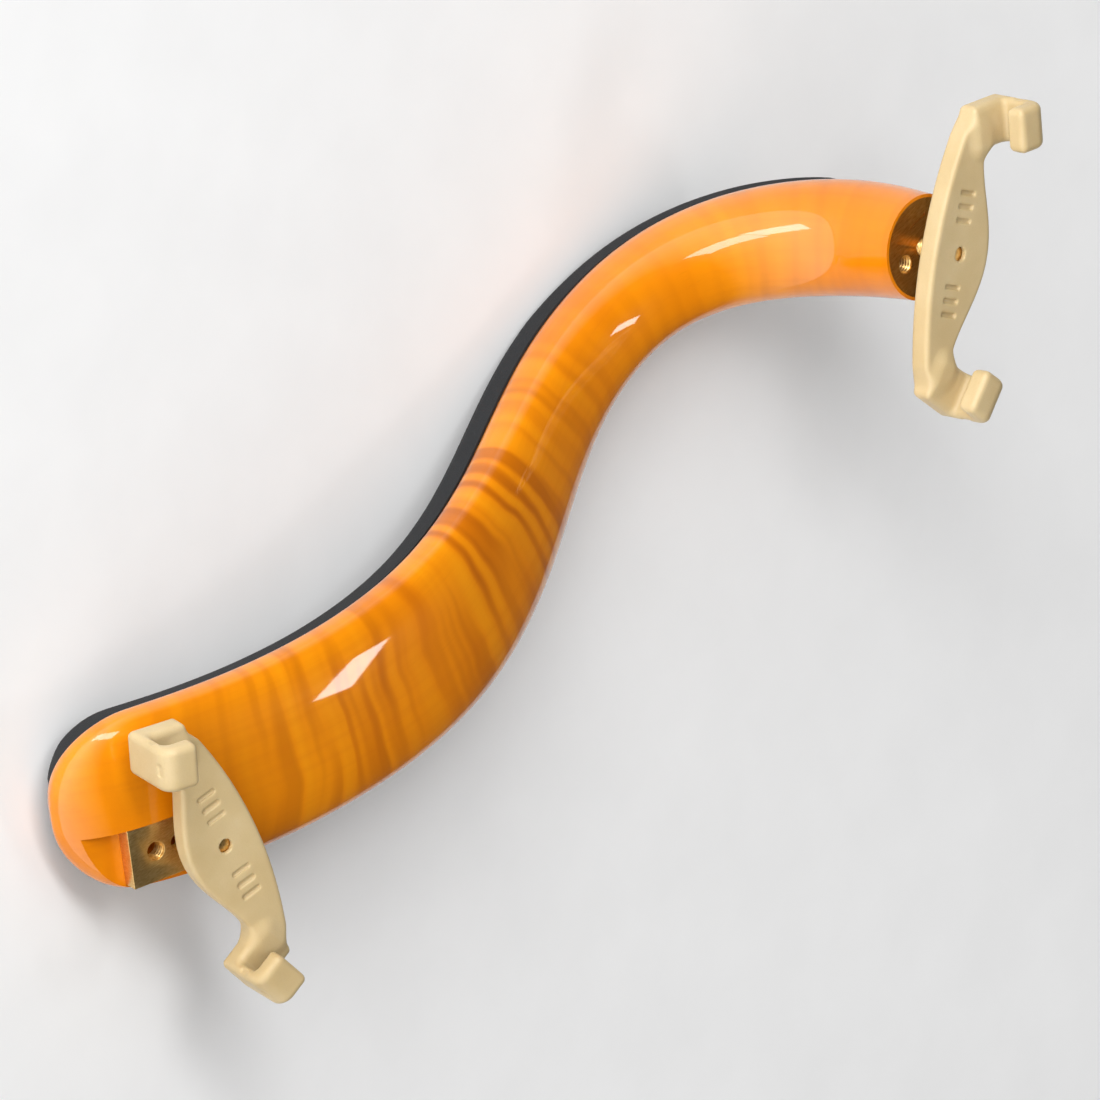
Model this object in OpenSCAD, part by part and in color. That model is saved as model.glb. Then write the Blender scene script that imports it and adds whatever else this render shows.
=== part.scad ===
// Violin shoulder rest: an S-curved maple body with a foam pad glued under it, a brass plate let into the
// wide end, a brass disc let into the narrow end, and two rubber-covered claws that screw in and out on
// brass studs. Millimetres. The rest lies on its pad with the claws up: +Z is up, +X points to the wide end,
// and the origin is on the table, under the middle of the outline.

/* [Body] */
// Distance between the two studs, where they enter the brass
stud_span = 204; // [190:1:215]
// Half of the body's width at the wide end
wide_half = 18.8; // [17.5:0.1:20]
// Half of the body's width at its waist, near the narrow end
waist_half = 10.2; // [9.5:0.1:11.5]
// Half of the wood's thickness along the flat part
flat_half = 6; // [5.6:0.1:7]
// Radius of the round narrow end
end_r = 10.9; // [10.8:0.1:12]
// How far the body drops below the studs at its lowest bend
body_drop = 40; // [34:1:46]
// Outward lean of both studs, in degrees
stud_lean = 7.7; // [5:0.1:10]

/* [Pad] */
// Thickness of the foam over the wide half
pad_t = 5; // [4:0.5:6]
// Thickness of the foam where it thins out towards the narrow end
pad_thin_t = 1.2; // [1:0.2:3]

/* [Brass] */
// Width of the plate
plate_w = 12.9; // [12:0.1:14]
// Thickness of the plate
plate_t = 3.5; // [3:0.1:4]
// Turn of the plate about its stud, in degrees
plate_turn = 14.5; // [12:0.5:20]
// Radius of the disc
disc_r = 10.2; // [9.8:0.1:10.3]
// Thickness of the disc
disc_t = 5; // [4:0.5:6]
// Distance between neighbouring holes in the plate
plate_pitch = 5.5; // [5:0.1:5.8]
// Distance between neighbouring holes in the disc
disc_pitch = 5.9; // [5.5:0.1:6]
// Radius of each threaded hole
hole_r = 2; // [1.9:0.05:2.1]

/* [Claws] */
// Height of the wide end's claw above its plate
wide_claw_h = 8.8; // [8.6:0.1:10]
// Height of the narrow end's claw above its disc
narrow_claw_h = 10.4; // [9.4:0.1:10.6]
// Thickness of a claw's bar
bar_t = 4.6; // [4.4:0.1:5]
// Distance from the stud to the middle of each prong
prong_reach = 27.2; // [26.5:0.1:28.5]
// Turn of each prong towards the violin's outline, in degrees
prong_turn = 20; // [15:1:23]
// Height of the groove that takes the violin's edge
groove_h = 5.4; // [5.2:0.1:5.8]
// Turn of the wide end's claw about its stud, in degrees
wide_turn = 2; // [-5:0.5:10]
// Turn of the narrow end's claw about its stud, in degrees
narrow_turn = 41.5; // [35:0.5:48]

/* [Hidden] */
$fn = 64;

// The pitch that lays the lowest bend and the wide tip on the table, and the shift to the origin
rest_pitch = 9.9;
rest_shift = [1.920, 1.055, 39.178];

// Stud axes
half_span = stud_span / 2;
wide_foot = [half_span + 0.5, -1.3, 0];
narrow_axis = [-sin(stud_lean), 0, cos(stud_lean)];

// Body: control points of a cubic B-spline from the wide tip to the narrow end. Each row holds x, y and z,
// the half width, the half thickness and the exponent of the section, which is 2 for an ellipse.
kx = half_span / 102;
kz = body_drop / 40;
narrow_end = [-half_span, 0, 0];
narrow_neck = narrow_end - 18 * narrow_axis;
spine = [
    [126 * kx, -19, -12, wide_half - 1.3, flat_half - 1, 2.6],
    [116 * kx, -16.5, -6, wide_half, flat_half - 0.5, 2.6],
    [94 * kx, -8, -3.5, wide_half + 0.2, flat_half, 2.6],
    [62 * kx, 1, -4, wide_half - 0.3, flat_half, 2.6],
    [28 * kx, 6, -9, wide_half - 0.5, flat_half, 2.6],
    [-2 * kx, 3, -21 * kz, wide_half - 2.5, flat_half + 0.5, 2.6],
    [-30 * kx, -5.5, -35 * kz, waist_half + 1.6, flat_half + 1, 2.5],
    [-60 * kx, -9.5, -39.5 * kz, waist_half, flat_half + 2, 2.4],
    [-84 * kx, -5.4, -33 * kz, waist_half + 1, flat_half + 5.6, 2.2],
    [narrow_neck.x, narrow_neck.y, narrow_neck.z, end_r + 0.8, end_r + 1.8, 2],
    [narrow_end.x, narrow_end.y, narrow_end.z, end_r, end_r, 2]
];
spans = len(spine) - 1;
rings_per_span = 6;
ring_points = 40;
tip_round = 17;
tip_power = 2.1;
tip_flat_w = 0.1;
tip_flat_t = 0.3;

// Pad: the rings that it covers, and the section points where it meets the wood
pad_first = 3;
pad_last = 57;
pad_fade = 5;
pad_edge = 24;
pad_arc = 12;
// The foam's section: side, shoulder and corner as [share of the half width, share of the wood's half
// thickness, share of the foam's thickness], and the swell under the middle
pad_side = [0.93, 0.62, 0.45];
pad_shoulder = [0.91, 0.8, 0.8];
pad_corner = [0.84, 1, 1];
pad_swell = 0.15;

// Plate holes, counted from the used one, outwards
plate_holes = [2, 1, 0];
plate_margin = 5.8;
plate_l = 2 * plate_margin + plate_holes[0] * plate_pitch;
disc_holes = [-1, 0, 1];
recess_extra = 0.3;
plate_hole_below = 4;
disc_hole_below = 2;
notch_reach = 60;
open_above = 30;

// Stud
stud_clear = 0.05;
stud_r = hole_r - stud_clear;
stud_l = 13.2;
head_r = 3;
head_t = 0.7;

// Claw: heights are measured from its face, where the violin's edge rests
bar_half = 26.5;
face_front = 7.7;
face_sag = 0.0055;
waist_back = 2.8;
belly_back = 5.7;
belly_half = 19.5;
belly_power = 0.7;
prong_back = -4.2;
prong_half = 4.7;
wall_back = -4.7;
wall_front = -2.2;
foot_front = 6.4;
lip_front = 3.1;
lip_t = 4.1;
floor_up = 0.3;
lip_bottom = floor_up + groove_h;
core_top = -1.3;
core_bottom = -3.3;
strip_back = -1.8;
strip_front = 3;
strip_half = 25;
hook_back = -4;
hook_t = 1.2;
hook_half = 2.6;
hook_foot = 5.5;
hook_front = 1.5;
hook_top = lip_bottom + 2.6;
boss_r = 4.6;
boss_bottom = -3.7;
pin_hole_r = 1.5;
stud_opening = 0.4;
slack = 0.1;
step = 0.1;

function flat(list) = [for (part = list) each part];
function spline_mix(u) = [pow(1 - u, 3), 3 * pow(u, 3) - 6 * u * u + 4,
                          -3 * pow(u, 3) + 3 * u * u + 3 * u + 1, pow(u, 3)] / 6;
function slope_mix(u) = [-pow(1 - u, 2), 3 * u * u - 4 * u, -3 * u * u + 2 * u + 1, u * u] / 2;
function spine_row(i) = i < 0 ? 2 * spine[0] - spine[1] :
    i > spans ? 2 * spine[spans] - spine[spans - 1] : spine[i];
function four_rows(i) = [spine_row(i - 1), spine_row(i), spine_row(i + 1), spine_row(i + 2)];
function spine_at(t) = let(i = min(floor(t), spans - 1)) spline_mix(t - i) * four_rows(i);
function slope_at(t) = let(i = min(floor(t), spans - 1)) slope_mix(t - i) * four_rows(i);
function xyz(row) = [row.x, row.y, row.z];
function unit(v) = v / norm(v);

// Ring parameters: one ring per sixth of a span, and closer together over the rounded tip
tip_steps = [0, 0.01, 0.04, 0.09, 0.16, 0.25, 0.36, 0.5, 0.65, 0.82];
ring_at = concat(tip_steps, [for (k = [rings_per_span : spans * rings_per_span]) k / rings_per_span]);

function signed_pow(v, p) = sign(v) * pow(abs(v), p);
function tip_scale(row) = let(d = min(1, norm(xyz(row) - xyz(spine[0])) / tip_round))
    pow(max(0, 1 - pow(1 - d, tip_power)), 1 / tip_power);
function along(t) = -unit(xyz(slope_at(t)));
function across(t) = unit([0, 1, 0] - along(t).y * along(t));
function outwards(t) = cross(along(t), across(t));
function ring_size(t) = let(row = spine_at(t), f = tip_scale(row))
    [row[3] * (tip_flat_w + (1 - tip_flat_w) * f), row[4] * (tip_flat_t + (1 - tip_flat_t) * f), 2 / row[5]];
function ring_point(t, w, n) = xyz(spine_at(t)) + w * across(t) + n * outwards(t);
function wood_point(t, k) = let(size = ring_size(t), a = 360 * k / ring_points)
    ring_point(t, size[0] * signed_pow(cos(a), size[2]), size[1] * signed_pow(sin(a), size[2]));

// Foam thickness at a ring: thinner towards the narrow end, and faded out at both ends
function pad_depth(i) = let(run = (i - pad_first) / (pad_last - pad_first),
                            fade = min(1, (i - pad_first + 1) / pad_fade, (pad_last - i + 1) / pad_fade))
    (pad_t + (pad_thin_t - pad_t) * pow(run, 2)) * sqrt(fade);
function pad_point(i, mix, side) = let(t = ring_at[i], size = ring_size(t))
    ring_point(t, side * size[0] * mix[0], -size[1] * mix[1] - pad_depth(i) * mix[2]);
function pad_middle(i) = let(t = ring_at[i]) ring_point(t, 0, -ring_size(t)[1] - pad_depth(i) - pad_swell);
function pad_ring(i) = concat([for (k = [0 : pad_arc]) wood_point(ring_at[i], pad_edge + k)],
                              [for (mix = [pad_side, pad_shoulder, pad_corner]) pad_point(i, mix, 1)],
                              [pad_middle(i)],
                              [for (mix = [pad_corner, pad_shoulder, pad_side]) pad_point(i, mix, -1)]);

// A closed skin over rings that all hold the same number of points
module skin(rings) {
    n = len(rings[0]);
    last = len(rings) - 1;
    walls = [for (i = [0 : last - 1]) for (k = [0 : n - 1]) let(a = i * n + k, b = i * n + (k + 1) % n)
        each [[a, b, b + n], [a, b + n, a + n]]];
    ends = [[for (k = [n - 1 : -1 : 0]) k], [for (k = [0 : n - 1]) last * n + k]];
    polyhedron(points = flat(rings), faces = concat(walls, ends), convexity = 6);
}

module at_rest() translate(rest_shift) rotate([0, rest_pitch, 0]) children();
module at_wide_stud() at_rest() translate(wide_foot) rotate([0, stud_lean, 0]) children();
module at_narrow_stud() at_rest() translate(narrow_end) rotate([0, -stud_lean, 0]) children();
module plate_frame() rotate([0, 0, -plate_turn]) children();

module holes(steps, pitch, r, top, depth) {
    for (step = steps) translate([step * pitch, 0, top - depth]) cylinder(r = r, h = depth);
}

module wood_body() {
    color("darkorange") difference() {
        at_rest() skin([for (t = ring_at) [for (k = [0 : ring_points - 1]) wood_point(t, k)]]);
        at_wide_stud() plate_frame() {
            translate([-plate_margin, -plate_w / 2, -plate_t]) cube([notch_reach, notch_reach, open_above]);
            holes(plate_holes, plate_pitch, hole_r + recess_extra, 1 - plate_t, 1 + plate_hole_below);
        }
        at_narrow_stud() {
            translate([0, 0, -disc_t]) cylinder(r = disc_r, h = disc_t + open_above);
            holes(disc_holes, disc_pitch, hole_r + recess_extra, 1 - disc_t, 1 + disc_hole_below);
        }
    }
}

module foam_pad() {
    color("dimgray") at_rest() skin([for (i = [pad_first : pad_last]) pad_ring(i)]);
}

module wide_end_plate() {
    color("peru") at_wide_stud() plate_frame() difference() {
        translate([-plate_margin, -plate_w / 2, -plate_t]) cube([plate_l, plate_w, plate_t]);
        holes(plate_holes, plate_pitch, hole_r, 1, plate_t + 2);
    }
}

module narrow_end_disc() {
    color("peru") at_narrow_stud() difference() {
        translate([0, 0, -disc_t]) cylinder(r = disc_r, h = disc_t);
        holes(disc_holes, disc_pitch, hole_r, 1, disc_t + 2);
    }
}

// A threaded stud with a peened head that the claw's core hangs on; h is the height of the claw's face
module stud(h) {
    color("goldenrod") translate([0, 0, h + core_top - stud_clear]) {
        translate([0, 0, -stud_l]) cylinder(r = stud_r, h = stud_l);
        translate([0, 0, -head_t]) cylinder(r = head_r, h = head_t);
    }
}

function bell(y) = abs(y) < belly_half ? pow((1 + cos(180 * y / belly_half)) / 2, belly_power) : 0;
bar_steps = [for (k = [-10 : 10]) bar_half * k / 10];
bar_outline = concat([for (y = bar_steps) [face_front - face_sag * y * y, y]],
                     [for (k = [20 : -1 : 0]) [-waist_back - belly_back * bell(bar_steps[k]), bar_steps[k]]]);

// The frame of one prong: x across the groove towards the violin, y along the violin's edge
module at_prong(side) {
    translate([prong_back, side * prong_reach, 0]) rotate([0, 0, -side * prong_turn]) children();
}

// A C-shaped prong: its foot under the groove, its wall behind it and its lip over it
module prong_shape(half, back, wall, foot, lip, low, floor, under_lip, top) {
    rotate([90, 0, 0]) linear_extrude(2 * half, center = true)
        polygon([[back, low], [foot, low], [foot, floor], [wall, floor],
                 [wall, under_lip], [lip, under_lip], [lip, top], [back, top]]);
}

// The outside of the steel core, which also shapes the hollow in the rubber
module core_body() {
    translate([strip_back, -strip_half, core_bottom])
        cube([strip_front - strip_back, 2 * strip_half, core_top - core_bottom]);
    translate([0, 0, boss_bottom]) cylinder(r = boss_r, h = core_top - boss_bottom);
    for (side = [-1, 1]) at_prong(side) core_hook();
}

module claw_core(h) {
    color("silver") translate([0, 0, h]) difference() {
        core_body();
        translate([0, 0, boss_bottom - 1]) cylinder(r = hole_r, h = core_top - boss_bottom + 2);
        translate([0, 0, core_top - head_t - 2 * stud_clear]) cylinder(r = head_r + slack, h = head_t + 1);
    }
}

// The steel strip that stands up inside a prong and reaches over the groove
module core_hook() {
    prong_shape(hook_half, hook_back, hook_back + hook_t, hook_foot, hook_front,
                core_bottom + step, core_top - step, hook_top - hook_t, hook_top);
}

module claw_cover(h) {
    color("burlywood") translate([0, 0, h]) difference() {
        union() {
            translate([0, 0, -bar_t]) linear_extrude(bar_t) polygon(bar_outline);
            for (side = [-1, 1]) at_prong(side)
                prong_shape(prong_half, wall_back, wall_front, foot_front, lip_front,
                            step - bar_t, floor_up, lip_bottom, lip_bottom + lip_t);
        }
        core_body();
        translate([0, 0, -bar_t - 1]) cylinder(r = hole_r + stud_opening, h = bar_t);
        translate([0, 0, core_top - 1]) cylinder(r = pin_hole_r, h = bar_t);
    }
}

module wide_claw() at_wide_stud() rotate([0, 0, 180 + wide_turn]) children();
module narrow_claw() at_narrow_stud() rotate([0, 0, -narrow_turn]) children();

wood_body();
foam_pad();
wide_end_plate();
narrow_end_disc();
wide_claw() stud(wide_claw_h);  // wide_end_stud
wide_claw() claw_core(wide_claw_h);  // wide_claw_core
wide_claw() claw_cover(wide_claw_h);  // wide_claw_cover
narrow_claw() stud(narrow_claw_h);  // narrow_end_stud
narrow_claw() claw_core(narrow_claw_h);  // narrow_claw_core
narrow_claw() claw_cover(narrow_claw_h);  // narrow_claw_cover
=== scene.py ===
"""Looks of the violin shoulder rest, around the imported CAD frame. Metres, in the row frame."""

import math

import bpy
import numpy as np
from mathutils import Matrix, Vector


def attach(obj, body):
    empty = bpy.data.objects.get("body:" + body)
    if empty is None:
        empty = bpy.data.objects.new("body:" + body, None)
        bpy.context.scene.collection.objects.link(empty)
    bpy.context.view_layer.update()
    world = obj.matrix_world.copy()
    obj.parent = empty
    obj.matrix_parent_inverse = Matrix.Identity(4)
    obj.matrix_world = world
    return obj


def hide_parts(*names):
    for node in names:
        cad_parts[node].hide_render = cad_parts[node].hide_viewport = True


MM = 0.001

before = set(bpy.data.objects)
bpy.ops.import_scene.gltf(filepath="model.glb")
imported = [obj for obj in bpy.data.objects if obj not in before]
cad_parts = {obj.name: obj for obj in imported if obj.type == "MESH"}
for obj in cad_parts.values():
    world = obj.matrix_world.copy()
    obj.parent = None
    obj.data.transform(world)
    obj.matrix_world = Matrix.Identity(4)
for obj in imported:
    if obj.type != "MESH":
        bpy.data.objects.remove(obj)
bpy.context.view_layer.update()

# Where the design frame lies in the row frame, and the two studs in the design frame, as in the CAD
REST_PITCH = 9.9
REST_SHIFT = (1.920, 1.055, 39.178)
STUD_LEAN = 7.7
WIDE_FOOT = (102.5, -1.3, 0)
NARROW_END = (-102.0, 0, 0)
PLATE_TURN = 14.5
WIDE_CLAW = (182, 8.8)
NARROW_CLAW = (-41.5, 10.4)

# Body: the CAD's control points, x, y, z, half width, half thickness and exponent of the section
WIDE_HALF, FLAT_HALF, WAIST_HALF, END_R = 18.8, 6.0, 10.2, 10.9
NARROW_NECK = (-102 + 18 * math.sin(math.radians(STUD_LEAN)), 0, -18 * math.cos(math.radians(STUD_LEAN)))
SPINE = np.array([
    (126, -19, -12, WIDE_HALF - 1.3, FLAT_HALF - 1, 2.6),
    (116, -16.5, -6, WIDE_HALF, FLAT_HALF - 0.5, 2.6),
    (94, -8, -3.5, WIDE_HALF + 0.2, FLAT_HALF, 2.6),
    (62, 1, -4, WIDE_HALF - 0.3, FLAT_HALF, 2.6),
    (28, 6, -9, WIDE_HALF - 0.5, FLAT_HALF, 2.6),
    (-2, 3, -21, WIDE_HALF - 2.5, FLAT_HALF + 0.5, 2.6),
    (-30, -5.5, -35, WAIST_HALF + 1.6, FLAT_HALF + 1, 2.5),
    (-60, -9.5, -39.5, WAIST_HALF, FLAT_HALF + 2, 2.4),
    (-84, -5.4, -33, WAIST_HALF + 1, FLAT_HALF + 5.6, 2.2),
    (*NARROW_NECK, END_R + 0.8, END_R + 1.8, 2),
    (*NARROW_END, END_R, END_R, 2),
])
SPANS = len(SPINE) - 1
TIP_ROUND, TIP_POWER = 17, 2.1
PAD_T, PAD_THIN_T = 5, 1.2
PAD_START, PAD_END = 0.09, 8.83


def turn(angle, axis):
    return Matrix.Rotation(math.radians(angle), 4, axis)


AT_REST = Matrix.Translation(Vector(REST_SHIFT)) @ turn(REST_PITCH, "Y")
AT_WIDE = AT_REST @ Matrix.Translation(Vector(WIDE_FOOT)) @ turn(STUD_LEAN, "Y")
AT_NARROW = AT_REST @ Matrix.Translation(Vector(NARROW_END)) @ turn(-STUD_LEAN, "Y")
AT_PLATE = AT_WIDE @ turn(-PLATE_TURN, "Z")


def to_row(points, place):
    """Points in millimetres in a local frame, as metres in the row frame."""
    m = np.array(place)
    return (np.asarray(points, float) @ m[:3, :3].T + m[:3, 3]) * MM


def mesh_object(name, verts, faces, smooth_angle=35):
    mesh = bpy.data.meshes.new(name)
    mesh.from_pydata([tuple(v) for v in verts], [], [tuple(int(i) for i in f) for f in faces])
    mesh.update()
    o = bpy.data.objects.new(name, mesh)
    bpy.context.scene.collection.objects.link(o)
    shade(o, smooth_angle)
    return o


def shade(o, angle):
    o.data.shade_smooth()
    o.data.set_sharp_from_angle(angle=math.radians(angle))


def apply_modifiers(o):
    bpy.context.view_layer.update()
    depsgraph = bpy.context.evaluated_depsgraph_get()
    mesh = bpy.data.meshes.new_from_object(o.evaluated_get(depsgraph), depsgraph=depsgraph)
    o.modifiers.clear()
    o.data = mesh


def cut(o, tool):
    """Cuts the tool's shape out of an object, and deletes the tool."""
    m = o.modifiers.new("cut", "BOOLEAN")
    m.operation = "DIFFERENCE"
    m.solver = "EXACT"
    m.object = tool
    apply_modifiers(o)
    bpy.data.objects.remove(tool)


# ---- shapes swept along the body ----

def spline_rows(t):
    """Rows of the spine and their slopes at parameters t."""
    t = np.asarray(t, float)
    rows = np.vstack([2 * SPINE[0] - SPINE[1], SPINE, 2 * SPINE[-1] - SPINE[-2]])
    i = np.minimum(t.astype(int), SPANS - 1)
    u = (t - i)[:, None]
    four = [rows[i + k] for k in range(4)]
    mix = [(1 - u) ** 3, 3 * u ** 3 - 6 * u ** 2 + 4, -3 * u ** 3 + 3 * u ** 2 + 3 * u + 1, u ** 3]
    slope = [-(1 - u) ** 2, 3 * u ** 2 - 4 * u, -3 * u ** 2 + 2 * u + 1, u ** 2]
    return sum(m * f for m, f in zip(mix, four)) / 6, sum(m * f for m, f in zip(slope, four)) / 2


def unit(v):
    return v / np.linalg.norm(v, axis=-1, keepdims=True)


class Sections:
    """Section centres, directions and sizes at parameters t."""

    def __init__(self, t):
        row, slope = spline_rows(t)
        self.centre = row[:, :3]
        self.along = -unit(slope[:, :3])
        y = np.array([0.0, 1.0, 0.0])
        self.across = unit(y - self.along[:, 1:2] * self.along)
        self.outwards = np.cross(self.along, self.across)
        d = np.minimum(1, np.linalg.norm(self.centre - SPINE[0, :3], axis=1) / TIP_ROUND)
        f = np.maximum(0, 1 - (1 - d) ** TIP_POWER) ** (1 / TIP_POWER)
        self.half_w = row[:, 3] * (0.1 + 0.9 * f)
        self.half_t = row[:, 4] * (0.3 + 0.7 * f)
        self.power = 2 / row[:, 5]

    def point(self, w, n):
        """Points at w across and n outwards, one column for each place round the section."""
        return (self.centre[:, None] + w[..., None] * self.across[:, None]
                + n[..., None] * self.outwards[:, None])

    def wood(self, angles):
        a = angles[None]
        c = np.sign(np.cos(a)) * np.abs(np.cos(a)) ** self.power[:, None]
        s = np.sign(np.sin(a)) * np.abs(np.sin(a)) ** self.power[:, None]
        return c * self.half_w[:, None], s * self.half_t[:, None]


def skin(name, points, smooth_angle=35):
    """A closed mesh over rings of points, with a fan at each end."""
    rings, n = points.shape[:2]
    verts = list(to_row(points.reshape(-1, 3), AT_REST))
    faces = []
    for i in range(rings - 1):
        for k in range(n):
            a, b = i * n + k, i * n + (k + 1) % n
            faces.append((a, b, b + n, a + n))
    for ring, flip in ((0, True), (rings - 1, False)):
        centre = len(verts)
        verts.append(to_row(points[ring].mean(0)[None], AT_REST)[0])
        for k in range(n):
            a, b = ring * n + k, ring * n + (k + 1) % n
            faces.append((b, a, centre) if flip else (a, b, centre))
    return mesh_object(name, verts, faces, smooth_angle)


def tip_steps():
    return [0, 0.004, 0.012, 0.025, 0.04, 0.06, 0.09, 0.12, 0.16, 0.2, 0.25, 0.3, 0.36, 0.43, 0.5, 0.57, 0.65,
            0.74, 0.82, 0.91]


def wood_sections():
    return np.concatenate([tip_steps(), np.arange(1, SPANS + 0.001, 1 / 16)])


def paint_run(o):
    """Stores where each vertex lies along, across and above the body, in metres, for the grain."""
    t = np.linspace(0, SPANS, 2400)
    s = Sections(t)
    centre = to_row(s.centre, AT_REST)
    rot = np.array(AT_REST)[:3, :3]
    along, across, outwards = (v @ rot.T for v in (s.along, s.across, s.outwards))
    run = np.concatenate([[0], np.cumsum(np.linalg.norm(np.diff(centre, axis=0), axis=1))])
    co = np.array([v.co for v in o.data.vertices])
    near = np.concatenate([((part[:, None] - centre[None]) ** 2).sum(2).argmin(1)
                           for part in np.array_split(co, len(co) // 800 + 1)])
    d = co - centre[near]
    place = np.stack([run[near] - (d * along[near]).sum(1), (d * across[near]).sum(1),
                      (d * outwards[near]).sum(1)], axis=1)
    attribute = o.data.attributes.new("body_place", "FLOAT_VECTOR", "POINT")
    attribute.data.foreach_set("vector", place.astype(np.float32).ravel())


# ---- tools for cutting ----

def block(name, low, high, place):
    x, y, z = zip(low, high)
    corners = [(x[i], y[j], z[k]) for i in (0, 1) for j in (0, 1) for k in (0, 1)]
    faces = [(0, 1, 3, 2), (4, 6, 7, 5), (0, 4, 5, 1), (2, 3, 7, 6), (0, 2, 6, 4), (1, 5, 7, 3)]
    return mesh_object(name, to_row(corners, place), faces)


def lathe(name, profile, place, at=(0, 0), around=64):
    """A closed turned shape about local Z from (radius, height) pairs, which start and end on the axis."""
    angles = np.linspace(0, 2 * math.pi, around, endpoint=False)
    verts = [(at[0], at[1], profile[0][1])]
    for r, h in profile[1:-1]:
        verts += [(at[0] + r * math.cos(a), at[1] + r * math.sin(a), h) for a in angles]
    verts.append((at[0], at[1], profile[-1][1]))
    rings = len(profile) - 2
    last = len(verts) - 1
    faces = []
    for k in range(around):
        j = (k + 1) % around
        faces.append((0, 1 + j, 1 + k))
        faces.append((last, 1 + (rings - 1) * around + k, 1 + (rings - 1) * around + j))
        for i in range(rings - 1):
            a, b = 1 + i * around + k, 1 + i * around + j
            faces.append((a, b, b + around, a + around))
    return mesh_object(name, to_row(verts, place), faces)


def drill(o, place, at, r, low, high):
    cut(o, lathe("drill", [(0, low), (r, low), (r, high), (0, high)], place, at))


def bevel(o, width, segments=3):
    m = o.modifiers.new("edge", "BEVEL")
    m.width = width * MM
    m.segments = segments
    m.limit_method = "ANGLE"
    m.angle_limit = math.radians(40)
    apply_modifiers(o)


# ---- threads ----

THREAD_PITCH = 0.7


def thread_wave(angle, height):
    """0 at a thread's root and 1 at its crest."""
    phase = (height / THREAD_PITCH - angle / (2 * math.pi)) % 1
    return 1 - np.abs(2 * phase - 1)


def thread_grid(low, high, root, crest, around=40):
    rows = int(round((high - low) / THREAD_PITCH * 8)) + 1
    h = np.linspace(low, high, rows)[:, None]
    a = np.linspace(0, 2 * math.pi, around, endpoint=False)[None]
    r = root + (crest - root) * thread_wave(a, h)
    return np.stack([r * np.cos(a), r * np.sin(a), h + 0 * a], axis=2)


def closed_rings(points, loop=False):
    """Faces over rings of points: capped at both ends, or joined end to end as a loop."""
    rings, n = points.shape[:2]
    faces = []
    for i in range(rings if loop else rings - 1):
        j = (i + 1) % rings
        for k in range(n):
            m = (k + 1) % n
            faces.append((i * n + k, i * n + m, j * n + m, j * n + k))
    if not loop:
        faces.append(tuple(range(n - 1, -1, -1)))
        faces.append(tuple(range((rings - 1) * n, rings * n)))
    return faces


def threaded_stud(name, place, face_height):
    """A stud with a rolled thread, a plain neck and the peened head that holds it in the claw."""
    head_top = face_height - 1.35
    low = head_top - 13.2
    grid = thread_grid(low, head_top - 1.4, 1.6, 1.93)
    angles = np.linspace(0, 2 * math.pi, grid.shape[1], endpoint=False)
    round_off = [(1.15, low), (1.5, low + 0.15)]
    start = [np.stack([r * np.cos(angles), r * np.sin(angles), 0 * angles + h], 1) for r, h in round_off]
    grid = grid[3:]
    end = [(1.7, head_top - 1.3), (1.7, head_top - 0.7), (2.9, head_top - 0.68), (2.98, head_top - 0.5),
           (2.9, head_top - 0.2), (2.3, head_top - 0.03), (0.6, head_top)]
    finish = [np.stack([r * np.cos(angles), r * np.sin(angles), 0 * angles + h], 1) for r, h in end]
    rings = np.concatenate([start, grid, finish])
    return mesh_object(name, to_row(rings.reshape(-1, 3), place), closed_rings(rings), 50)


def hole_thread(name, place, at, low, high):
    """The thread inside a hole: a thin sleeve whose inner side carries the ridge."""
    inner = thread_grid(low, high, 1.97, 1.72)
    outer = inner.copy()
    size = np.hypot(inner[..., 0], inner[..., 1])
    outer[..., 0] *= 2.03 / size
    outer[..., 1] *= 2.03 / size
    rings = np.concatenate([inner, outer[::-1]])
    rings[..., 0] += at[0]
    rings[..., 1] += at[1]
    faces = [f[::-1] for f in closed_rings(rings, loop=True)]
    return mesh_object(name, to_row(rings.reshape(-1, 3), place), faces, 50)


# ---- claws, from a distance field ----

BAR_HALF, PRONG_REACH, PRONG_TURN, PRONG_BACK = 26.5, 27.2, 20, -4.2
PRONG_HALF, WALL_BACK, WALL_FRONT, LIP_FRONT, FOOT_FRONT = 4.7, -4.7, -2.2, 3.1, 6.4
BAR_T, FLOOR_UP, LIP_BOTTOM, LIP_TOP = 4.6, 0.3, 5.7, 9.8
FIELD_STEP = 0.3
BELL_HALF, BELL_DEPTH, BELL_POWER = 19.5, 5.7, 0.7
FACE_FRONT, FACE_SAG, WAIST_BACK = 7.7, 0.0055, 2.8
PRONG_FILLET = 2.8
PIN_HOLE_R, PIN_HOLE_DEPTH, STUD_OPENING_R, SEAT_R = 1.5, 1.5, 2.4, 4.6
CORE_TOP, SEAT_BOTTOM = -1.3, -3.7
MARK_PLACES = (-12.4, -9.6, -6.8, 6.8, 9.6, 12.4)
MARK_DEPTH = 0.8


def round_max(a, b, r):
    """Both fields at once, with a rounded edge of radius r where they meet."""
    return np.minimum(np.maximum(a, b), -r) + np.hypot(np.maximum(a + r, 0), np.maximum(b + r, 0))


def round_min(a, b, r):
    return -round_max(-a, -b, r)


def slab(v, low, high):
    return np.abs(v - (low + high) / 2) - (high - low) / 2


def box_field(x, y, z, low, high, r):
    f = round_max(slab(x, low[0], high[0]), slab(y, low[1], high[1]), r)
    return round_max(f, slab(z, low[2], high[2]), r)


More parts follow.
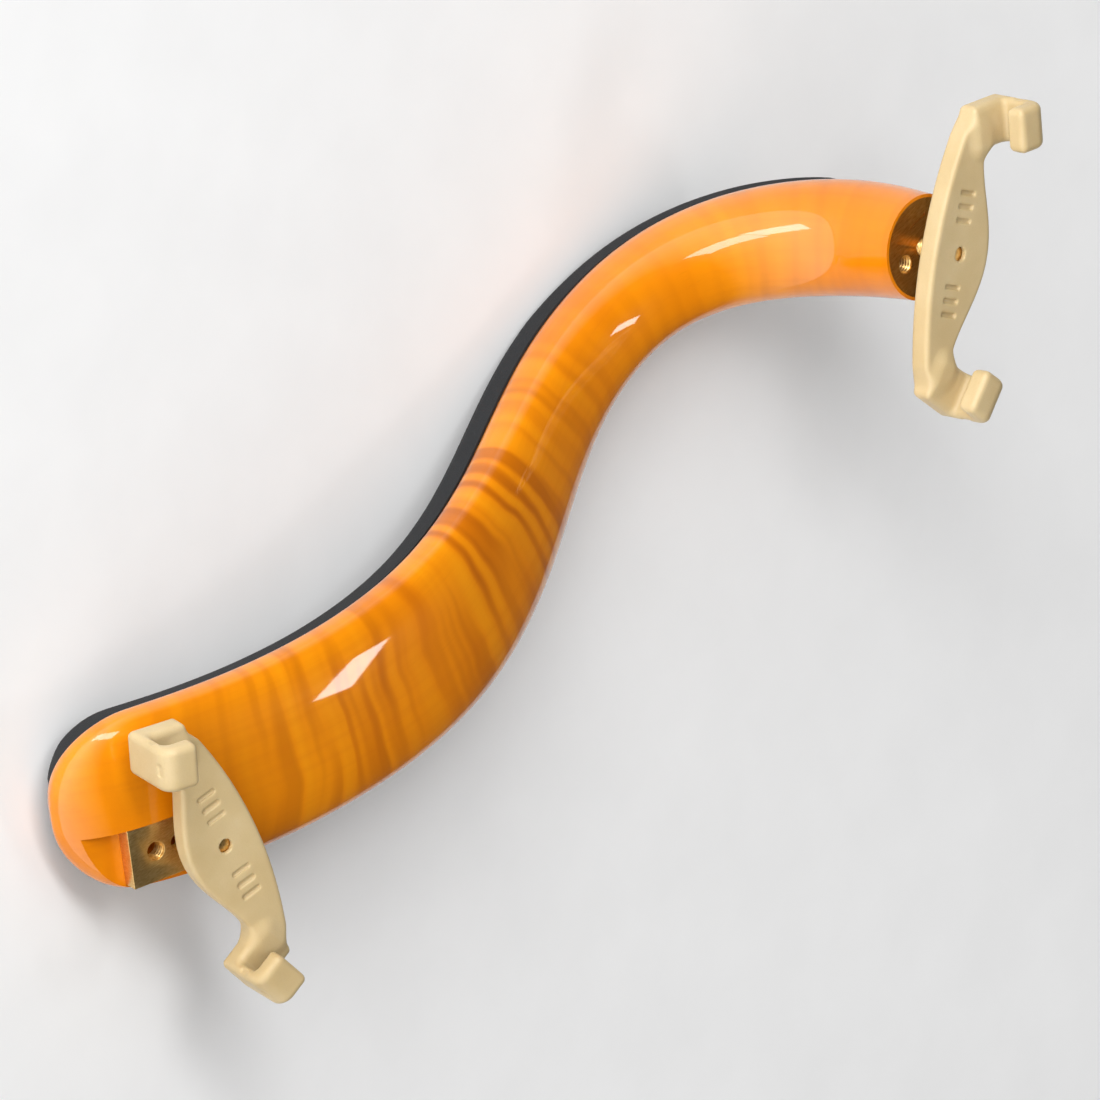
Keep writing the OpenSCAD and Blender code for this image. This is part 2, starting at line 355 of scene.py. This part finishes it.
def bar_field(x, y, z):
    """The bar between the prongs: a bowed front, a bellied back and a slightly dished face."""
    wave = ((1 + np.cos(np.pi * y / BELL_HALF)) / 2).clip(0)
    bell = np.where(np.abs(y) < BELL_HALF, wave ** BELL_POWER, 0)
    front = x - (FACE_FRONT - FACE_SAG * y * y)
    slope = 0.4 * np.exp(-((np.abs(y) - 12) / 6) ** 2)
    back = (-WAIST_BACK - BELL_DEPTH * bell - x) / np.sqrt(1 + slope ** 2)
    plan = round_max(round_max(front, back, 1.5), np.abs(y) - BAR_HALF, 3)
    dish = 0.25 * np.exp(-(y / 16) ** 2) * np.exp(-((x - 1) / 7) ** 2)
    return round_max(plan, round_max(z + dish, -BAR_T - z, 0.8), 0.9)


def prong_field(u, v, z):
    """A C-shaped prong: foot, wall and lip, with a dimple behind the lip and a pip on each side."""
    side = round_max(round_max(u - LIP_FRONT, slab(z, -BAR_T, LIP_TOP), 1.2), WALL_BACK - u, 3.4)
    mouth = round_max(WALL_FRONT - u, slab(z, FLOOR_UP, LIP_BOTTOM), 1.1)
    hook = round_max(side, -mouth, 0.5)
    foot = round_max(slab(u, WALL_BACK, FOOT_FRONT), slab(z, -BAR_T, FLOOR_UP), 1.0)
    shape = np.minimum(hook, foot)
    field = round_max(shape, np.abs(v) - PRONG_HALF, 1.5)
    dimple = box_field(u, v, z, (WALL_BACK - 1, -1.3, 6.6), (WALL_BACK + 0.45, 1.3, 8.2), 0.2)
    field = np.maximum(field, -dimple)
    for end in (-1, 1):
        edge = end * PRONG_HALF
        pip = box_field(u, v, z, (-3.9, edge - 0.4, 2.2), (-3, edge + 0.4, 4.4), 0.2)
        field = np.maximum(field, -pip)
    return field


def claw_field(x, y, z):
    field = bar_field(x, y, z)
    for side in (-1, 1):
        a = math.radians(-side * PRONG_TURN)
        dx, dy = x - PRONG_BACK, y - side * PRONG_REACH
        u, v = dx * math.cos(a) + dy * math.sin(a), -dx * math.sin(a) + dy * math.cos(a)
        field = round_min(field, prong_field(u, v, z), PRONG_FILLET)
    hole = np.maximum(np.hypot(x, y) - PIN_HOLE_R, -PIN_HOLE_DEPTH - z)
    field = np.maximum(field, -hole)
    under = np.maximum(np.hypot(x, y) - STUD_OPENING_R, z - CORE_TOP)
    field = np.maximum(field, -under)
    seat = np.maximum(np.hypot(x, y) - SEAT_R, slab(z, SEAT_BOTTOM, CORE_TOP))
    field = np.maximum(field, -seat)
    for at in MARK_PLACES:
        mark = round_max(slab(y, at - 0.5, at + 0.5), slab(x, -1.4, 2.8), 0.4)
        field = np.maximum(field, -np.maximum(mark, -MARK_DEPTH - z))
    return field


def surface_net(field, origin, step):
    """Vertices and quads of the zero surface of a sampled field that is negative inside."""
    inside = field < 0
    shape = np.array(field.shape) - 1
    offsets = [(i, j, k) for i in (0, 1) for j in (0, 1) for k in (0, 1)]

    def shifted(o):
        return tuple(slice(o[a], o[a] + shape[a]) for a in range(3))

    count = sum(inside[shifted(o)].astype(int) for o in offsets)
    active = (count > 0) & (count < 8)
    cells = np.argwhere(active)
    index = np.full(active.shape, -1)
    index[active] = np.arange(len(cells))
    total, number = np.zeros((len(cells), 3)), np.zeros(len(cells))
    for axis in range(3):
        for o in offsets:
            if o[axis]:
                continue
            far = np.array(o)
            far[axis] = 1
            a = field[tuple((cells + np.array(o)).T)]
            b = field[tuple((cells + far).T)]
            cross = (a < 0) != (b < 0)
            t = np.where(cross, a / np.where(cross, a - b, 1), 0)
            p = cells + np.array(o, float)
            p[:, axis] += t
            total[cross] += p[cross]
            number[cross] += 1
    verts = np.array(origin) + step * total / number[:, None]
    quads = []
    for axis in range(3):
        b, c = (axis + 1) % 3, (axis + 2) % 3
        low = [slice(1, -1)] * 3
        low[axis] = slice(0, -1)
        high = [slice(1, -1)] * 3
        high[axis] = slice(1, None)
        p, q = inside[tuple(low)], inside[tuple(high)]
        edges = np.argwhere(p != q)
        leaving = p[tuple(edges.T)]
        start = edges + 1
        start[:, axis] -= 1
        ring = []
        for db, dc in ((-1, -1), (0, -1), (0, 0), (-1, 0)):
            cell = start.copy()
            cell[:, b] += db
            cell[:, c] += dc
            ring.append(index[tuple(cell.T)])
        ring = np.stack(ring, 1)
        quads.append(np.where(leaving[:, None], ring, ring[:, ::-1]))
    return verts, np.concatenate(quads)


def claw_mesh():
    low, high = np.array([-12.0, -34.0, -6.0]), np.array([10.5, 34.0, 11.5])
    axes = [np.arange(a, b, FIELD_STEP) for a, b in zip(low, high)]
    x, y, z = np.meshgrid(*axes, indexing="ij")
    return surface_net(claw_field(x, y, z), low, FIELD_STEP)


# ---- materials ----

def srgb(r, g, b):
    def linear(c):
        c /= 255
        return c / 12.92 if c <= 0.04045 else ((c + 0.055) / 1.055) ** 2.4
    return (linear(r), linear(g), linear(b), 1)


class Paint:
    """A node material under construction."""

    def __init__(self, name, **constants):
        self.material = bpy.data.materials.new(name)
        self.material.use_nodes = True
        self.tree = self.material.node_tree
        self.shader = self.tree.nodes["Principled BSDF"]
        for key, value in constants.items():
            self.shader.inputs[key.replace("_", " ")].default_value = value

    def node(self, kind, **inputs):
        n = self.tree.nodes.new(kind)
        for key, value in inputs.items():
            self.set(n.inputs[key.replace("_", " ")], value)
        return n

    def set(self, socket, value):
        if isinstance(value, bpy.types.NodeSocket):
            self.tree.links.new(value, socket)
        else:
            socket.default_value = value

    def place(self, name=None):
        if name:
            n = self.tree.nodes.new("ShaderNodeAttribute")
            n.attribute_name = name
            return n.outputs["Vector"]
        return self.tree.nodes.new("ShaderNodeTexCoord").outputs["Object"]

    def scaled(self, vector, scale):
        n = self.tree.nodes.new("ShaderNodeVectorMath")
        n.operation = "MULTIPLY"
        self.set(n.inputs[0], vector)
        n.inputs[1].default_value = scale
        return n.outputs[0]

    def noise(self, vector, scale, detail=3, roughness=0.5):
        n = self.node("ShaderNodeTexNoise", Vector=vector, Scale=scale, Detail=detail, Roughness=roughness)
        return n.outputs["Fac"]

    def ramp(self, fac, stops):
        n = self.tree.nodes.new("ShaderNodeValToRGB")
        self.set(n.inputs["Fac"], fac)
        ramp = n.color_ramp
        while len(ramp.elements) < len(stops):
            ramp.elements.new(0.5)
        for element, (position, colour) in zip(ramp.elements, stops):
            element.position = position
            element.color = colour
        return n.outputs["Color"]

    def range(self, value, low, high, to_low, to_high):
        n = self.tree.nodes.new("ShaderNodeMapRange")
        for socket, v in zip(n.inputs, (value, low, high, to_low, to_high)):
            self.set(socket, v)
        return n.outputs[0]

    def multiply(self, a, b):
        n = self.tree.nodes.new("ShaderNodeMath")
        n.operation = "MULTIPLY"
        self.set(n.inputs[0], a)
        self.set(n.inputs[1], b)
        return n.outputs[0]

    def mix(self, fac, a, b):
        n = self.tree.nodes.new("ShaderNodeMix")
        n.data_type = "RGBA"
        self.set(n.inputs["Factor"], fac)
        self.set(n.inputs[6], a)
        self.set(n.inputs[7], b)
        return n.outputs[2]

    def bump(self, height, distance, strength=1.0):
        n = self.node("ShaderNodeBump", Height=height, Distance=distance, Strength=strength)
        self.tree.links.new(n.outputs["Normal"], self.shader.inputs["Normal"])

    def use(self, socket, value):
        self.set(self.shader.inputs[socket], value)


def maple_paint():
    p = Paint("flamed_maple", Roughness=0.4, Specular_IOR_Level=0.1, Coat_Weight=1.0, Coat_Roughness=0.04,
              Coat_IOR=1.5)
    place = p.place("body_place")
    sway = p.noise(p.scaled(place, (20, 45, 20)), 1.0, 2)
    shifted = p.tree.nodes.new("ShaderNodeVectorMath")
    shifted.operation = "ADD"
    lean = p.tree.nodes.new("ShaderNodeCombineXYZ")
    p.set(lean.inputs[0], p.range(sway, 0, 1, -0.004, 0.004))
    p.set(shifted.inputs[0], place)
    p.set(shifted.inputs[1], lean.outputs[0])
    flame = p.noise(p.scaled(shifted.outputs[0], (210, 14, 6)), 1.0, 1.2, 0.5)
    broad = p.noise(p.scaled(shifted.outputs[0], (26, 14, 6)), 1.0, 2)
    stripes = [(0.36, srgb(182, 96, 0)), (0.44, srgb(200, 110, 0)), (0.52, srgb(222, 130, 2)),
               (0.66, srgb(230, 142, 6))]
    colour = p.ramp(flame, stripes)
    plain = p.ramp(broad, [(0.35, srgb(216, 120, 0)), (0.65, srgb(234, 142, 4))])
    figure = p.noise(p.scaled(place, (26, 26, 10)), 1.0, 1)
    run = p.tree.nodes.new("ShaderNodeSeparateXYZ")
    p.set(run.inputs[0], place)
    middle = p.range(run.outputs[0], 0.03, 0.075, 0.25, 1.0)
    middle = p.multiply(middle, p.range(run.outputs[0], 0.13, 0.19, 1.0, 0.3))
    colour = p.mix(p.multiply(middle, p.range(figure, 0.35, 0.6, 0.35, 1.0)), plain, colour)
    grain = p.noise(p.scaled(place, (14, 520, 520)), 1.0, 3, 0.6)
    colour = p.mix(p.range(grain, 0.45, 0.72, 0, 0.2), colour, srgb(200, 104, 0))
    pores = p.noise(p.scaled(place, (120, 2600, 2600)), 1.0, 2)
    p.use("Base Color", p.mix(p.range(pores, 0.66, 0.8, 0, 0.12), colour, srgb(150, 70, 2)))
    p.use("Roughness", p.range(grain, 0.3, 0.7, 0.3, 0.42))
    return p.material


def foam_paint():
    p = Paint("black_foam", Roughness=0.88)
    place = p.place()
    cells = p.noise(place, 2600, 3, 0.6)
    clouds = p.noise(place, 60, 3)
    colour = p.ramp(cells, [(0.3, srgb(14, 15, 17)), (0.55, srgb(25, 27, 30)), (0.8, srgb(44, 47, 50))])
    p.use("Base Color", p.mix(p.range(clouds, 0.3, 0.7, 0, 0.35), colour, srgb(34, 36, 39)))
    p.use("Roughness", p.range(cells, 0.3, 0.7, 0.8, 0.95))
    p.bump(cells, 0.0002, 0.6)
    return p.material


def rubber_paint():
    p = Paint("tan_rubber", Roughness=0.45, Subsurface_Weight=0.12, Subsurface_Scale=0.002)
    p.shader.inputs["Subsurface Radius"].default_value = (1.0, 0.6, 0.3)
    place = p.place()
    clouds = p.noise(place, 70, 3)
    fine = p.noise(place, 3200, 3, 0.6)
    tans = [(0.3, srgb(190, 166, 120)), (0.5, srgb(198, 175, 130)), (0.72, srgb(206, 184, 141))]
    colour = p.ramp(clouds, tans)
    p.use("Base Color", p.mix(p.range(fine, 0.5, 0.8, 0, 0.25), colour, srgb(180, 154, 108)))
    p.use("Roughness", p.range(fine, 0.3, 0.7, 0.4, 0.52))
    p.bump(fine, 0.00006, 0.5)
    return p.material


def brass_paint(name, stretch, dark, middle, light, tarnished):
    p = Paint(name, Metallic=1.0, Roughness=0.3)
    place = p.place()
    brushed = p.noise(p.scaled(place, stretch), 1.0, 3, 0.6)
    tarnish = p.noise(place, 160, 4, 0.6)
    colour = p.ramp(brushed, [(0.3, srgb(*dark)), (0.52, srgb(*middle)), (0.75, srgb(*light))])
    p.use("Base Color", p.mix(p.range(tarnish, 0.5, 0.75, 0, tarnished), colour, srgb(*dark)))
    p.use("Roughness", p.range(brushed, 0.3, 0.7, 0.3, 0.42))
    p.bump(brushed, 0.000006, 0.5)
    return p.material


def steel_paint():
    p = Paint("core_steel", Metallic=1.0, Roughness=0.35)
    place = p.place()
    rolled = p.noise(p.scaled(place, (300, 3000, 3000)), 1.0, 3)
    p.use("Base Color", p.ramp(rolled, [(0.3, srgb(138, 139, 141)), (0.7, srgb(186, 187, 189))]))
    p.use("Roughness", p.range(rolled, 0.3, 0.7, 0.28, 0.42))
    p.bump(rolled, 0.00003, 0.5)
    return p.material


def floor_paint():
    p = Paint("floor_paper", Roughness=0.9)
    speck = p.noise(p.place(), 40, 3)
    p.use("Base Color", p.ramp(speck, [(0.3, (0.9, 0.9, 0.9, 1)), (0.7, (0.93, 0.93, 0.93, 1))]))
    return p.material


def dress(o, material, body, slot, *replaced):
    o.data.materials.clear()
    o.data.materials.append(material)
    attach(o, body)
    if replaced:
        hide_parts(*replaced)


# ---- the pieces ----

PLATE_MARGIN, PLATE_PITCH, PLATE_W, PLATE_T = 5.8, 5.5, 12.9, 3.5
PLATE_STEPS = (0, 1, 2)
DISC_R, DISC_T, DISC_PITCH = 10.2, 5.0, 5.9
DISC_STEPS = (-1, 0, 1)
HOLE_R, WOOD_BORE_R = 2.0, 2.3
PAD_SIDE_FIRST, PAD_SIDE_LAST = 216, 324


def make_body():
    s = Sections(wood_sections())
    w, n = s.wood(np.linspace(0, 2 * math.pi, 112, endpoint=False))
    body = skin("wood_body_shell", s.point(w, n))
    cut(body, block("notch", (-PLATE_MARGIN, -PLATE_W / 2, -PLATE_T), (60, 60, 30), AT_PLATE))
    recess = [(0, -DISC_T), (DISC_R, -DISC_T), (DISC_R, 30), (0, 30)]
    cut(body, lathe("recess", recess, AT_NARROW, around=96))
    for step in PLATE_STEPS:
        drill(body, AT_PLATE, (step * PLATE_PITCH, 0), WOOD_BORE_R, -PLATE_T - 4, 1 - PLATE_T)
    for step in DISC_STEPS:
        drill(body, AT_NARROW, (step * DISC_PITCH, 0), WOOD_BORE_R, -DISC_T - 2, 1 - DISC_T)
    shade(body, 32)
    paint_run(body)
    return body


def make_pad():
    t = np.concatenate([[v for v in tip_steps() if v >= PAD_START], np.arange(1, PAD_END + 0.001, 1 / 16)])
    s = Sections(t)
    run = (t - t[0]) / (t[-1] - t[0])
    start = np.minimum(1, (t - t[0]) / 0.35 + 0.12)
    end = np.minimum(1, (t[-1] - t) / 2.5)
    deep = (PAD_T + (PAD_THIN_T - PAD_T) * run ** 2) * np.sqrt(start) * (0.05 + 0.95 * end)
    w, n = s.wood(np.linspace(math.radians(PAD_SIDE_FIRST), math.radians(PAD_SIDE_LAST), 25))
    inner_w, inner_n = w * 0.985, n * 0.9
    turns = np.linspace(0, 1, 29)[None]
    across = 1 - 2 * turns
    side = np.sign(across) * np.abs(across) ** 0.55
    half = s.half_w[:, None] * (0.6 + 0.32 * np.sqrt(end))[:, None]
    depth = 1 - np.abs(across) ** 6
    top = -s.half_t[:, None] * 0.62
    bottom = -(s.half_t + deep)[:, None]
    outer_w = half * side
    outer_n = top + (bottom - top) * depth ** 0.5
    points = s.point(np.concatenate([inner_w, outer_w], 1), np.concatenate([inner_n, outer_n], 1))
    return skin("foam_pad_shell", points, 40)


def make_plate():
    length = 2 * PLATE_MARGIN + 2 * PLATE_PITCH
    plate = block("wide_end_plate_brass", (-PLATE_MARGIN, -PLATE_W / 2, -PLATE_T),
                  (length - PLATE_MARGIN, PLATE_W / 2, 0), AT_PLATE)
    for step in PLATE_STEPS:
        drill(plate, AT_PLATE, (step * PLATE_PITCH, 0), HOLE_R, -PLATE_T - 1, 1)
    bevel(plate, 0.22)
    shade(plate, 30)
    return plate


def make_disc():
    profile = [(0, -DISC_T), (DISC_R, -DISC_T), (DISC_R, 0), (0, 0)]
    disc = lathe("narrow_end_disc_brass", profile, AT_NARROW, around=96)
    for step in DISC_STEPS:
        drill(disc, AT_NARROW, (step * DISC_PITCH, 0), HOLE_R, -DISC_T - 1, 1)
    cut(disc, block("dash", (-3.6, -6.15, -0.2), (1.3, -5.65, 1), AT_NARROW))
    bevel(disc, 0.2)
    shade(disc, 30)
    return disc


def make_claw(name, base, claw):
    angle, height = claw
    verts, quads = CLAW_SHAPE
    place = base @ turn(angle, "Z") @ Matrix.Translation((0, 0, height))
    return mesh_object(name, to_row(verts, place), quads, 60)


CLAW_SHAPE = claw_mesh()
maple = maple_paint()
foam = foam_paint()
rubber = rubber_paint()
steel = steel_paint()
BRIGHT_BRASS = ((214, 172, 104), (232, 194, 126), (246, 214, 152), 0.25)
DULL_BRASS = ((176, 126, 58), (196, 148, 78), (214, 170, 102), 0.4)
flat_brass = brass_paint("plate_brass", (900, 4200, 900), *BRIGHT_BRASS)
disc_brass = brass_paint("disc_brass", (700, 4200, 700), *DULL_BRASS)
stud_brass = brass_paint("stud_brass", (1200, 1200, 5200), *BRIGHT_BRASS)

dress(make_body(), maple, "rest", "flamed_maple", "wood_body")
pad = make_pad()
dress(pad, foam, "rest", "black_foam", "foam_pad")
dress(make_plate(), flat_brass, "rest", "brass", "wide_end_plate")
dress(make_disc(), disc_brass, "rest", "brass", "narrow_end_disc")
for i in (1, 2):
    thread = hole_thread(f"plate_hole_thread_{i}", AT_PLATE, (i * PLATE_PITCH, 0), -PLATE_T + 0.1, -0.3)
    dress(thread, stud_brass, "rest", "brass")
for i, label in ((-1, "a"), (1, "b")):
    thread = hole_thread(f"disc_hole_thread_{label}", AT_NARROW, (i * DISC_PITCH, 0), -DISC_T + 0.1, -0.3)
    dress(thread, stud_brass, "rest", "brass")
for end, base, claw in (("wide", AT_WIDE, WIDE_CLAW), ("narrow", AT_NARROW, NARROW_CLAW)):
    stud = threaded_stud(f"{end}_end_stud_threaded", base, claw[1])
    dress(stud, stud_brass, f"{end}_stud", "brass", f"{end}_end_stud")
    cover = make_claw(f"{end}_claw_rubber", base, claw)
    dress(cover, rubber, f"{end}_claw", "tan_rubber", f"{end}_claw_cover")
    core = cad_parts[f"{end}_claw_core"]
    core.data.materials.clear()
    core.data.materials.append(steel)


# ---- floor, light and camera ----

def make_floor():
    size = 3.0
    floor = mesh_object("floor", [(-size, -size, 0), (size, -size, 0), (size, size, 0), (-size, size, 0)],
                        [(0, 1, 2, 3)])
    floor.data.materials.append(floor_paint())


DARK_SIDE = (-0.52, 0.42, 0.74)
LIGHT_DISTANCE = 1.1
SOFTBOXES = (
    # name, the point it is aimed at, its direction from there, its size and its power
    ("key", (0.06, -0.007, 0.03), (-0.461, 0.33, 0.8), (0.22, 0.09), 0.7),
    ("window", (-0.075, -0.012, 0.027), (0.244, -0.6, 0.76), (0.26, 0.5), 3.6),
    ("side_window", (-0.084, -0.011, 0.033), (0.3, -0.85, 0.43), (0.24, 0.4), 3.0),
)


def softbox(name, target, direction, size, power):
    light = bpy.data.lights.new(name, "AREA")
    light.shape = "RECTANGLE"
    light.size, light.size_y = size
    light.energy = power
    o = bpy.data.objects.new(name, light)
    bpy.context.scene.collection.objects.link(o)
    back = Vector(direction).normalized()
    o.location = Vector(target) + back * LIGHT_DISTANCE
    o.rotation_euler = back.to_track_quat("Z", "Y").to_euler()


def make_world():
    """A pale studio that is darker where the body's flat face mirrors it."""
    world = bpy.data.worlds.new("studio")
    world.use_nodes = True
    tree = world.node_tree
    background = tree.nodes["Background"]
    background.inputs["Color"].default_value = (1, 1, 1, 1)
    direction = tree.nodes.new("ShaderNodeTexCoord").outputs["Generated"]
    dot = tree.nodes.new("ShaderNodeVectorMath")
    dot.operation = "DOT_PRODUCT"
    tree.links.new(direction, dot.inputs[0])
    dot.inputs[1].default_value = DARK_SIDE
    strength = tree.nodes.new("ShaderNodeMapRange")
    tree.links.new(dot.outputs["Value"], strength.inputs["Value"])
    for name, value in (("From Min", -0.25), ("From Max", 0.5), ("To Min", 2.45), ("To Max", 0.06)):
        strength.inputs[name].default_value = value
    tree.links.new(strength.outputs[0], background.inputs["Strength"])
    bpy.context.scene.world = world


def make_light():
    make_world()
    for values in SOFTBOXES:
        softbox(*values)
    bpy.context.scene.view_settings.view_transform = "Standard"


# The camera: its right, up and back directions in the design frame, and the point at the middle of its view
VIEW_RIGHT = (-0.69828, 0.32213, 0.63925)
VIEW_UP = (-0.57408, -0.78546, -0.23128)
VIEW_BACK = (0.42760, -0.52848, 0.73339)
VIEW_MIDDLE = (22.69, -22.43, 30.08)
VIEW_WIDTH = 216.1
LENS = 600
SENSOR_WIDTH = 36


def make_camera():
    rot = AT_REST.to_3x3()
    right, up, back = (rot @ Vector(v) for v in (VIEW_RIGHT, VIEW_UP, VIEW_BACK))
    distance = LENS * VIEW_WIDTH / SENSOR_WIDTH
    eye = (AT_REST @ Vector(VIEW_MIDDLE) + back * distance) * MM
    data = bpy.data.cameras.new("camera")
    data.lens = LENS
    data.clip_end = 20
    camera = bpy.data.objects.new("camera", data)
    bpy.context.scene.collection.objects.link(camera)
    place = Matrix((right, up, back)).transposed().to_4x4()
    place.translation = eye
    camera.matrix_world = place
    bpy.context.scene.camera = camera


make_floor()
make_light()
make_camera()
